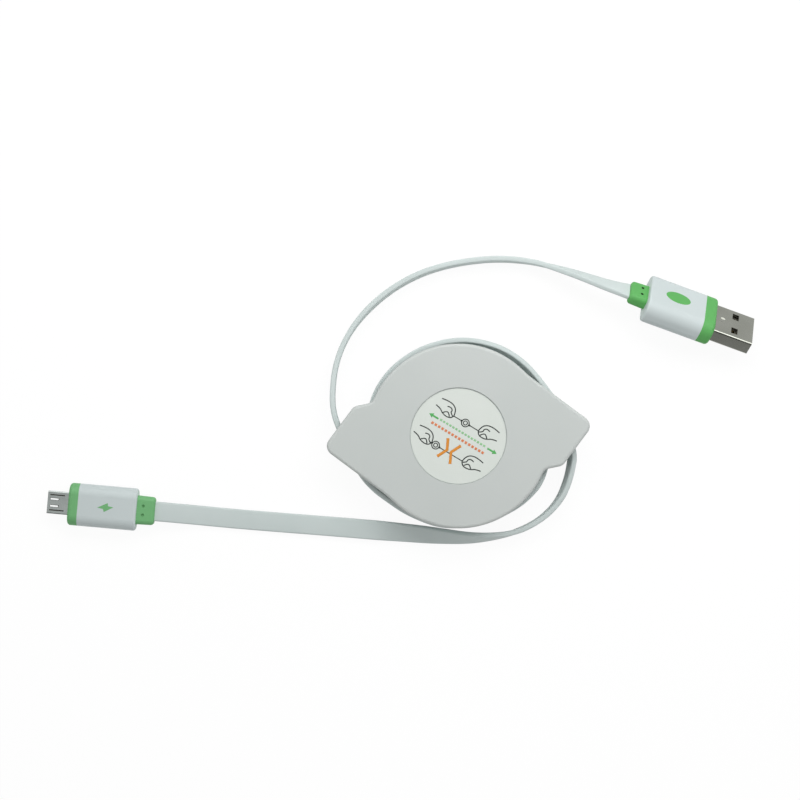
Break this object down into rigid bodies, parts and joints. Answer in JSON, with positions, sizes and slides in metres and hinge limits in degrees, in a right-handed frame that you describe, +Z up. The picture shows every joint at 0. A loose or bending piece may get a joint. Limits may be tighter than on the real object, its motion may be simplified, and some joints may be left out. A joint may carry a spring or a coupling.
{
  "type": "retractable charging cable",
  "caption": "Flat charging cable wound on a sprung spool in a lens-shaped reel case, pulled out from both mouths, with a wide plug on one end and a small plug on the other.",
  "frame": {"origin": "reel axis at the underside of the case", "axes": "+Z up along the reel axis, +X along the case from lobe tip to lobe tip"},
  "size_m": [0.2162, 0.086, 0.0165],
  "materials": {
    "case_white": "fine satin moulded plastic",
    "label_film": "printed matt film",
    "spool_white": "plain moulded plastic",
    "cable_white": "smooth soft cable jacket",
    "plug_white": "satin moulded plastic",
    "plug_green": "soft satin moulding",
    "plug_steel": "plated folded sheet",
    "insulator": "black moulded insulator",
    "contact_gold": "gold plated contacts",
    "hidden_steel": "bright steel"
  },
  "bodies": {
    "case": {"bottom_cover": "case_white", "top_cover": "case_white", "cover_screw": "hidden_steel", "label_disc": "label_film", "host_lead": "cable_white", "host_plug_sleeve": "plug_white", "host_plug_overmould": "plug_green", "host_plug_shell": "plug_steel", "host_plug_tongue": "insulator", "host_plug_contacts": "contact_gold", "device_lead": "cable_white", "device_plug_sleeve": "plug_white", "device_plug_overmould": "plug_green", "device_plug_shell": "plug_steel", "device_plug_latches": "plug_steel", "device_plug_tongue": "insulator", "device_plug_contacts": "contact_gold"},
    "spool": {"spool_drum": "spool_white", "spool_lid": "spool_white", "cable_winding": "cable_white", "mainspring": "hidden_steel"},
    "stop_ball": {"stop_ball": "hidden_steel"}
  },
  "joints": [
    {"name": "spool_spin", "type": "hinge", "parent": "case", "child": "spool", "pos_m": [0, 0, 0.0063], "axis": [0, 0, -1], "range_deg": [-270, 630], "deforming": ["mainspring"]},
    {"name": "stop_ball_slide", "type": "slide", "parent": "case", "child": "stop_ball", "axis": [0, -1, 0], "range_m": [0, 0.0032]}
  ]
}
